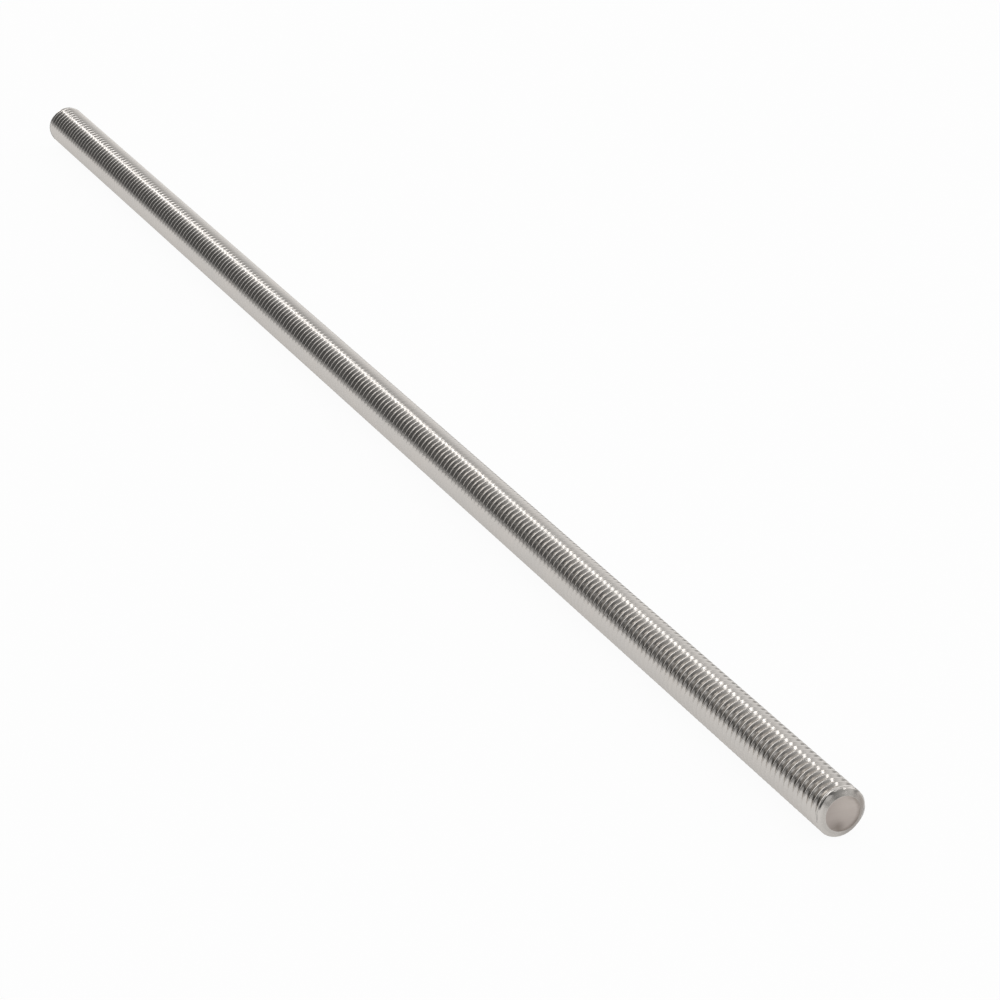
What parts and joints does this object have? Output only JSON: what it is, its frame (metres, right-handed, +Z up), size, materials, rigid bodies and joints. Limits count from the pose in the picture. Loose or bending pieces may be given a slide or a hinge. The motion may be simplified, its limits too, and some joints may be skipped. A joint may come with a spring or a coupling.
{
  "type": "threaded rod",
  "caption": "Fully threaded stainless steel rod with a metric coarse thread from end to end and a chamfer at each end, for use with nuts and tapped holes.",
  "frame": {"origin": "on the rod's axis, midway between its two end faces", "axes": "+X along the rod, +Z up, with the rod lying level"},
  "size_m": [0.25, 0.006, 0.006],
  "materials": {
    "stainless_steel": "bright rolled thread, sawn matt ends"
  },
  "bodies": {
    "root": {"threaded_rod": "stainless_steel"}
  },
  "joints": []
}
